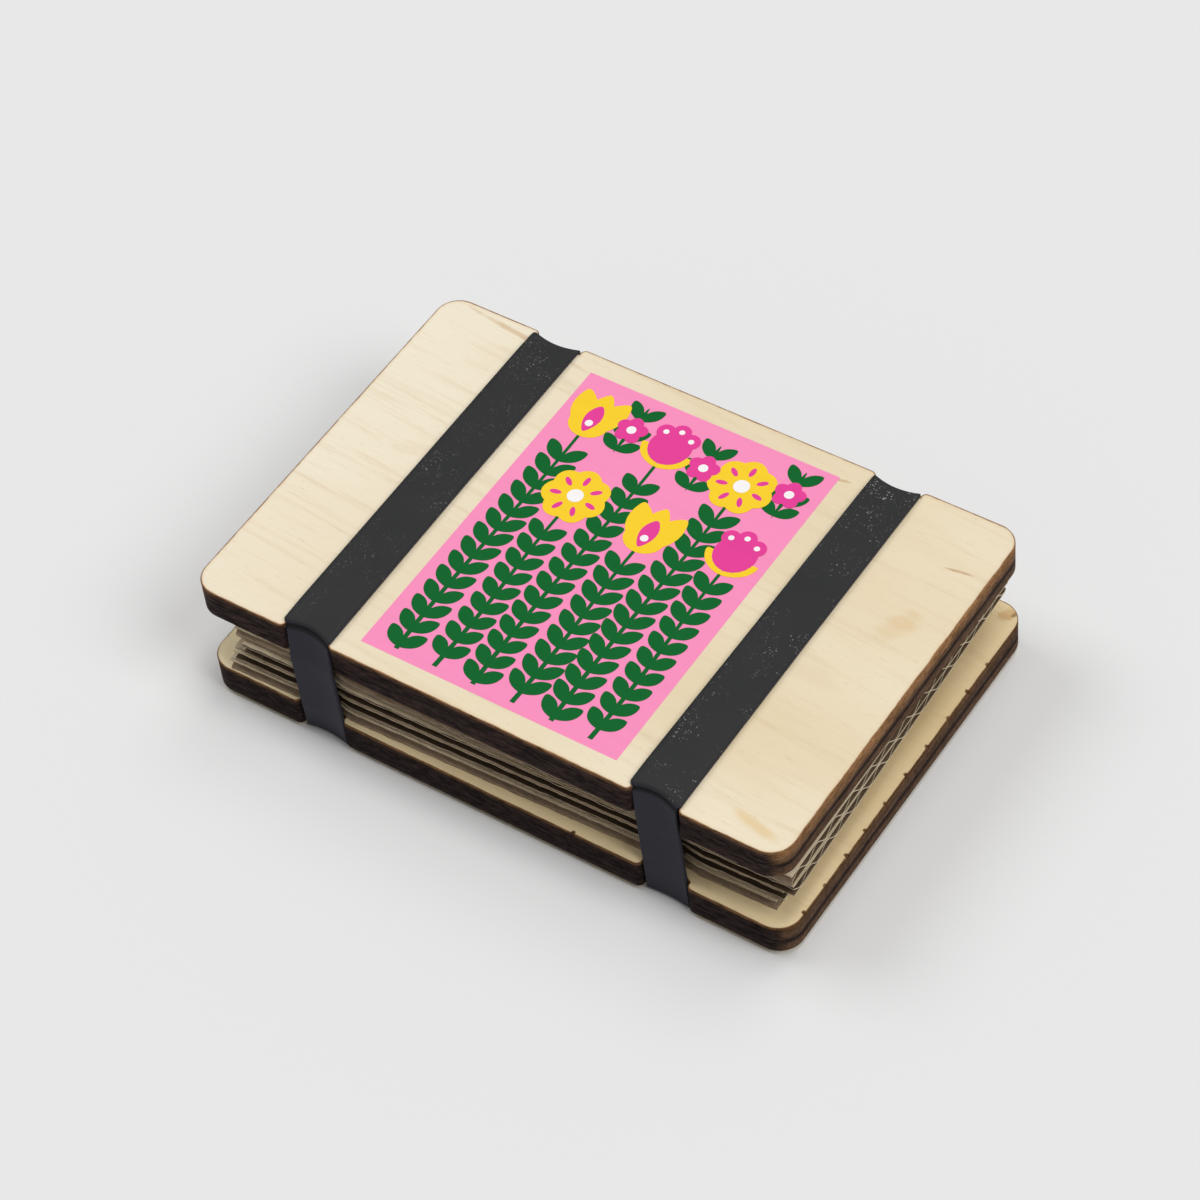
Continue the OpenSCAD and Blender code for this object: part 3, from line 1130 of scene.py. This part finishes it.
@dataclass
class MeadowPrint:
    """A plain meadow of upright stems, printed in flat inks in a pink panel."""

    centre: tuple[float, float] = (-1.15, 0.85)
    width: float = 52.1
    height: float = 71.7
    film: float = 0.012
    step: float = 0.003
    leaf_length: float = 5.2
    leaf_width: float = 2.6
    leaf_spread: float = 44.0
    leaf_gap: float = 3.75
    stems: tuple[Stem, ...] = (
        Stem(-19.8, 56.5, -0.3, Blossom.TULIP), Stem(-11.9, 39.5, 0.3, Blossom.ROSE, 1.9),
        Stem(-4.0, 57.0, -0.3, Blossom.CUP), Stem(4.0, 38.5, 0.3, Blossom.TULIP, 1.9),
        Stem(11.9, 55.5, -0.3, Blossom.ROSE), Stem(19.7, 41.5, 0.3, Blossom.CUP, 1.9))
    sprigs: tuple[tuple[float, float], ...] = ((-12.0, 27.5), (4.0, 26.0), (20.4, 28.0))
    shapes: dict[Ink, BMesh] = field(default_factory=dict)

    def build(self) -> None:
        """Draws the panel and everything in it, and prints each ink."""
        self.shapes = {ink: bmesh.new() for ink in Ink}
        ground = self.shapes[Ink.GROUND]
        made = bmesh.ops.create_grid(ground, x_segments=1, y_segments=1, size=0.5)["verts"]
        bmesh.ops.scale(ground, vec=(self.width, self.height, 1), verts=made)
        for index, stem in enumerate(self.stems):
            self.draw_stem(stem, index % 2)
        for x, y in self.sprigs:
            self.sprig(Vector((x, y, 0)))
        for ink, bm in self.shapes.items():
            self.press(ink, bm)

    def stem_point(self, stem: Stem, level: float) -> Vector:
        """A point of a stem's middle line, at a height above its foot."""
        sway = stem.sway * math.sin(math.pi * 1.7 * level / stem.height)
        return Vector((stem.x + sway, level - self.height / 2 + 1.6, 0))

    def draw_stem(self, stem: Stem, layer: int) -> None:
        """Draws one stem with its leaves and its blossom.

        Args:
            stem: The stem.
            layer: Which of two layers it lies in.
        """
        made = bmesh.ops.create_grid(self.shapes[Ink.LEAF], x_segments=1, y_segments=30, size=0.5)["verts"]
        for vert in made:
            level = (vert.co.y + 0.5) * stem.height
            thick = 0.95 - 0.35 * level / stem.height
            vert.co = self.stem_point(stem, level) + Vector((vert.co.x * thick, 0, self.step * 2))
        level = 0.6 + stem.start
        while level < stem.height - 4.0:
            grown = self.leaf_length + 0.3 * math.sin(level * 1.7 + stem.x)
            for side, own in ((-1, layer + 5), (1, layer + 3)):
                turn = 90 - side * self.leaf_spread
                self.leaf(Ink.LEAF, self.stem_point(stem, level), grown, self.leaf_width, turn, own, 0.6)
            level += self.leaf_gap
        draw = getattr(self, stem.blossom.value)
        draw(self.stem_point(stem, stem.height))

    def blob(self, ink: Ink, at: Vector, half_long: float, half_wide: float, turn: float = 0.0,
             layer: int = 0) -> None:
        """Adds a flat oval.

        Args:
            ink: Its ink.
            at: Its middle.
            half_long: Half its length.
            half_wide: Half its width.
            turn: The direction of its length, in degrees.
            layer: Its steps above the ink's first layer.
        """
        place = Matrix.Translation(at + Vector((0, 0, layer * self.step)))
        place @= Matrix.Rotation(math.radians(turn), 4, "Z") @ Matrix.Diagonal((half_long, half_wide, 1, 1))
        bmesh.ops.create_circle(self.shapes[ink], cap_ends=True, segments=22, radius=1.0, matrix=place)

    def leaf(self, ink: Ink, foot: Vector, length: float, width: float, turn: float, layer: int = 0,
             point: float = 0.0) -> None:
        """Adds a leaf or petal that is fuller past its middle.

        Args:
            ink: Its ink.
            foot: Where it grows from.
            length: Its length.
            width: Its greatest width.
            turn: The direction that it grows in, in degrees.
            layer: Its steps above the ink's first layer.
            point: How pointed its tip is, from 0 to 1.
        """
        made = bmesh.ops.create_circle(self.shapes[ink], cap_ends=True, segments=26, radius=1.0)["verts"]
        for vert in made:
            along, across = (vert.co.x + 1) / 2, vert.co.y
            full = 0.62 + 0.95 * along * (1.45 - along) - point * 0.5 * along ** 4
            vert.co = Vector((along * length, across * width / 2 * full, layer * self.step))
        place = Matrix.Translation(foot) @ Matrix.Rotation(math.radians(turn), 4, "Z")
        bmesh.ops.transform(self.shapes[ink], matrix=place, verts=made)

    def tulip(self, at: Vector) -> None:
        """A tulip with three petals and a magenta heart.

        Args:
            at: Its foot.
        """
        self.blob(Ink.PETAL, at + Vector((0, 3.0, 0)), 3.4, 3.9, 90)
        for layer, turn in enumerate((69, 111)):
            foot = at + Vector((0.7 if turn < 90 else -0.7, 0.4, 0))
            self.leaf(Ink.PETAL, foot, 10.4, 4.6, turn, layer + 1, 0.8)
        self.leaf(Ink.PETAL, at, 10.6, 4.8, 90, 3, 0.9)
        self.leaf(Ink.HEART, at + Vector((0, 0.9, 0)), 6.6, 3.0, 90, 0, 0.6)
        self.blob(Ink.SPARK, at + Vector((0, 3.0, 0)), 0.75, 0.75)

    def cup(self, at: Vector) -> None:
        """A round cup with three lobes and a yellow collar.

        Args:
            at: Its foot.
        """
        for layer, turn in enumerate((40, 140)):
            self.leaf(Ink.PETAL, at - Vector((0, 0.5, 0)), 6.6, 2.6, turn, layer, 0.6)
        self.blob(Ink.HEART, at + Vector((0, 4.6, 0)), 4.2, 4.0, 90)
        for layer, x in enumerate((-2.6, 0.0, 2.6)):
            lobe = at + Vector((x, 8.6 - 0.17 * x * x, 0))
            self.blob(Ink.HEART, lobe, 1.75, 1.75, 0, layer + 1)
            self.blob(Ink.SPARK, lobe, 0.55, 0.55)

    def rose(self, at: Vector) -> None:
        """A round flower with broad petals.

        Args:
            at: Its foot.
        """
        heart = at + Vector((0, 4.4, 0))
        for k in range(7):
            turn = 90 + k * 360 / 7
            way = Vector((math.cos(math.radians(turn)), math.sin(math.radians(turn)), 0))
            self.leaf(Ink.PETAL, heart, 6.3, 5.2, turn, k)
            self.blob(Ink.HEART, heart + 3.7 * way, 1.1, 0.5, turn)
        self.blob(Ink.SPARK, heart, 1.5, 1.5)

    def sprig(self, at: Vector) -> None:
        """A loose twig with a small blossom.

        Args:
            at: The middle of its blossom.
        """
        foot = at - Vector((0, 6.0, 0))
        self.leaf(Ink.LEAF, foot, 12.0, 0.9, 90, 0)
        for layer, (level, grown, spread) in enumerate(((0.6, 4.6, 52), (3.6, 4.9, 48), (8.6, 5.0, 40))):
            for own, turn in enumerate((90 - spread, 90 + spread), 1):
                self.leaf(Ink.LEAF, foot + Vector((0, level, 0)), grown, 2.3, turn, 2 * layer + own, 0.6)
        for k in range(5):
            self.leaf(Ink.HEART, at, 3.1, 2.5, 90 + k * 72, k)
        self.blob(Ink.SPARK, at, 0.9, 0.9)

    def press(self, ink: Ink, bm: BMesh) -> None:
        """Gives an ink's flat shapes their thickness and lays them on the top board.

        Args:
            ink: The ink.
            bm: Its shapes.
        """
        _, layer = ink.value
        thicken(bm, bm.faces, self.film)
        height = SIZES.top_top + layer * self.film * 2
        bmesh.ops.translate(bm, vec=(*self.centre, height), verts=bm.verts)
        piece = finish_piece(bm, f"print_{ink.name.lower()}", (ink.material(),))
        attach(piece, "top_board")


# --- Stage ---


@dataclass(frozen=True)
class Studio:
    """The pale floor, the soft light and the camera."""

    target: tuple[float, float, float] = (3.53, -7.30, 25.1)
    camera: tuple[float, float, float] = (276.95, -350.46, 538.78)
    roll: float = -6.995
    focal_px: float = 3958.5
    frame_px: float = 1200.0
    floor_colour: Colour = srgb(232, 232, 232)
    sky: float = 0.2
    lamps: tuple[tuple[str, Colour, float, float], ...] = (
        ("overhead", (0.05, 0.16, 1.0), 0.24, 26.0), ("right_window", (1.0, 0.02, 1.08), 0.26, 32.0),
        ("left_window", (-1.0, 0.04, 1.2), 0.19, 30.0), ("back_window", (0.0, 1.0, 1.35), 0.11, 30.0))

    def build(self) -> None:
        """Sets up floor, light and camera."""
        self.floor()
        self.light()
        self.aim()

    def floor(self) -> None:
        """A wide, pale floor."""
        bm = bmesh.new()
        bmesh.ops.create_grid(bm, x_segments=1, y_segments=1, size=4.0)
        mesh = bpy.data.meshes.new("floor")
        bm.to_mesh(mesh)
        bm.free()
        plane = bpy.data.objects.new("floor", mesh)
        bpy.context.scene.collection.objects.link(plane)
        s = Shader("pale_floor")
        mesh.materials.append(s.paint(self.floor_colour, 0.9, 0.1))

    def light(self) -> None:
        """A pale sky, a wide lamp overhead, and a soft one at each side and behind."""
        world = bpy.data.worlds.new("soft_sky")
        world.use_nodes = True
        sky = world.node_tree.nodes["Background"].inputs
        sky[0].default_value, sky[1].default_value = (1, 1, 1, 1), self.sky
        bpy.context.scene.world = world
        for name, side, share, spread in self.lamps:
            lamp = bpy.data.lights.new(name, "SUN")
            way = Vector(side).normalized()
            lamp.energy = share * math.pi / way.z
            lamp.angle = math.radians(spread)
            lamp.specular_factor = 0.5
            source = bpy.data.objects.new(name, lamp)
            source.rotation_euler = way.to_track_quat("Z", "Y").to_euler()
            bpy.context.scene.collection.objects.link(source)

    def aim(self) -> None:
        """Puts the camera where the photograph was taken from."""
        data = bpy.data.cameras.new("camera")
        data.sensor_width = 36.0
        data.lens = self.focal_px / self.frame_px * data.sensor_width
        data.clip_start, data.clip_end = 0.01, 20.0
        camera = bpy.data.objects.new("camera", data)
        bpy.context.scene.collection.objects.link(camera)
        back = (Vector(self.camera) - Vector(self.target)).normalized()
        right = Vector((0, 0, 1)).cross(back).normalized()
        up = back.cross(right)
        turn = math.radians(self.roll)
        level = Matrix((right * math.cos(turn) + up * math.sin(turn),
                        up * math.cos(turn) - right * math.sin(turn), back)).transposed()
        camera.matrix_world = Matrix.Translation(Vector(self.camera) * MM) @ level.to_4x4()
        bpy.context.scene.camera = camera


# --- Putting it together ---


@dataclass
class FlowerPress:
    """The whole press."""

    stack: tuple[str, ...] = (
        "base", "cardboard_1", "blotting_paper_1", "blotting_paper_2", "cardboard_2", "blotting_paper_3",
        "blotting_paper_4", "cardboard_3", "blotting_paper_5", "blotting_paper_6", "cardboard_4", "top_board")

    def boards(self) -> None:
        """Both boards."""
        nicks = (-34.4, -28.0, -20.9, -14.9, -8.5, -1.4, 5.5, 12.7, 19.3, 26.2)
        burn = (Streak(59.3, 37.6, 2.6, 1.3, 60.0, srgb(96, 62, 26), 0.95),
                Streak(58.2, 37.0, 6.0, 3.4, 60.0, srgb(206, 158, 92), 0.6))
        stains = (Streak(53.0, 28.0, 7.0, 0.9, 8.0, srgb(176, 122, 62), 0.75),
                  Streak(-42.0, 38.0, 34.0, 1.6, -7.0, srgb(196, 152, 98), 0.5),
                  Streak(51.0, 13.0, 12.0, 7.0, 60.0, srgb(222, 190, 140), 0.5),
                  Streak(52.0, -35.0, 14.0, 3.0, -12.0, srgb(226, 192, 128), 0.6),
                  Streak(25.2, 36.2, 5.0, 0.8, 10.0, srgb(190, 144, 88), 0.6))
        # Both birch faces get painted light that pales their left end, the bottom face more strongly.
        PlywoodBoard(
            "bottom_board", "base", SIZES.bottom_place, SIZES.bottom_under,
            BirchFace("birch_bottom", srgb(242, 221, 176), srgb(235, 210, 159), scorch=srgb(104, 70, 34),
                      streaks=burn, seed=7.3, left_light=1.0, left_light_colour=srgb(255, 240, 202)),
            BurntEdge("burnt_bottom", SIZES.bottom_under, 2.0, srgb(104, 72, 42), srgb(108, 80, 54),
                      (srgb(100, 76, 58), srgb(98, 74, 56)), srgb(54, 40, 34), 0.2),
            front_nicks=(17.5,), right_nicks=nicks, nick_depth=0.4, nick_width=1.0, rim=0.18).build()
        PlywoodBoard(
            "top_board", "top_board", SIZES.top_place, SIZES.top_under,
            BirchFace("birch_top", streaks=stains, seed=3.1, left_light=0.6),
            BurntEdge("burnt_top", SIZES.top_under, 5.0, flake=(58.9, -38.55, 24.5))).build()

    def sheets(self) -> None:
        """The cardboards and the blotting papers, from the bottom up."""
        kraft = Paper("corrugated", srgb(224, 210, 182), srgb(196, 178, 148)).material()
        # Long cut edges of every sheet: fibrous and flecked, and darker as painted shade, since they face the
        # front and the back.
        shaded_edge = Paper("cut_edge_painted_shade", srgb(184, 166, 142), srgb(150, 132, 112), 0.7, 0.75).material()
        # Inner faces of the hollows: a darker copy of the paper as painted shade, and a lighter copy as
        # painted light for the lowest and the top cardboards.
        dark = Paper("fluting", srgb(104, 88, 68), srgb(78, 64, 48)).material()
        lit = Paper("fluting_painted_light", srgb(172, 150, 126), srgb(138, 116, 94), streaks=0.6).material()
        # Inner faces where the hollows open at the ends: a painted shade, lighter than deeper inside and
        # darker than the outer faces.
        hollow = Paper("hollow", srgb(138, 116, 92), srgb(94, 77, 59)).material()
        blotting = Paper("blotting", srgb(228, 216, 192), srgb(208, 194, 166), 0.15).material()
        layer = SIZES.cardboard_thickness + 2 * SIZES.paper_thickness
        for index, (middle, turn, length, start, flutes) in enumerate((
            ((0.1, -1.9), 1.7, 110.6, 0.52, lit), ((1.3, -1.6), 1.8, 110.6, 0.40, dark),
            ((3.55, -1.6), 1.65, 110.6, 0.12, dark), ((3.1, -1.4), 1.15, 112.0, 0.62, lit),
        )):
            CorrugatedCardboard(f"cardboard_{index + 1}", middle, turn, SIZES.bottom_top + index * layer,
                                length=length, wave_start=start).build(kraft, flutes, shaded_edge, hollow)
        for index, (middle, turn) in enumerate((
            ((0.4, -1.75), 1.9), ((0.9, -0.8), 2.1), ((1.5, -1.55), 1.6), ((2.1, -1.1), 2.0),
            ((2.7, -0.8), 1.6), ((2.6, -0.6), 1.2),
        )):
            pair, second = divmod(index, 2)
            underside = SIZES.bottom_top + SIZES.cardboard_thickness + pair * layer
            underside += second * SIZES.paper_thickness
            BlottingPaper(f"blotting_paper_{index + 1}", middle, turn, underside).build(blotting, shaded_edge)

    def bands(self) -> None:
        """Both rubber bands."""
        left = BandShape((-36.27, -36.52, -36.65), (5.13, 5.02, 5.0), (-36.2, -35.15, -33.98, -34.5),
                         (-36.3, -34.65), 4.5, -38.9, -39.65, (1.2, 0.6), 0.22)
        right = BandShape((34.48, 34.57, 34.68), (5.08, 4.83, 4.73), (34.35, 34.8, 36.1, 36.25),
                          (34.6, 36.15), 4.35, -37.8, -38.75, (1.2, 0.35), 0.22)
        RubberBand("band_left", left, InnerTube("tube_left", 0.5, 1.0), self.stack).build()
        RubberBand("band_right", right, InnerTube("tube_right", 1.0, 4.0), self.stack).build()

    def build(self) -> None:
        """Makes every piece of the press."""
        self.boards()
        self.sheets()
        self.bands()
        MeadowPrint().build()


def main() -> None:
    """Builds the scene."""
    bpy.context.scene.view_settings.view_transform = "Standard"
    Studio().build()
    FlowerPress().build()


if __name__ == "__main__":
    main()
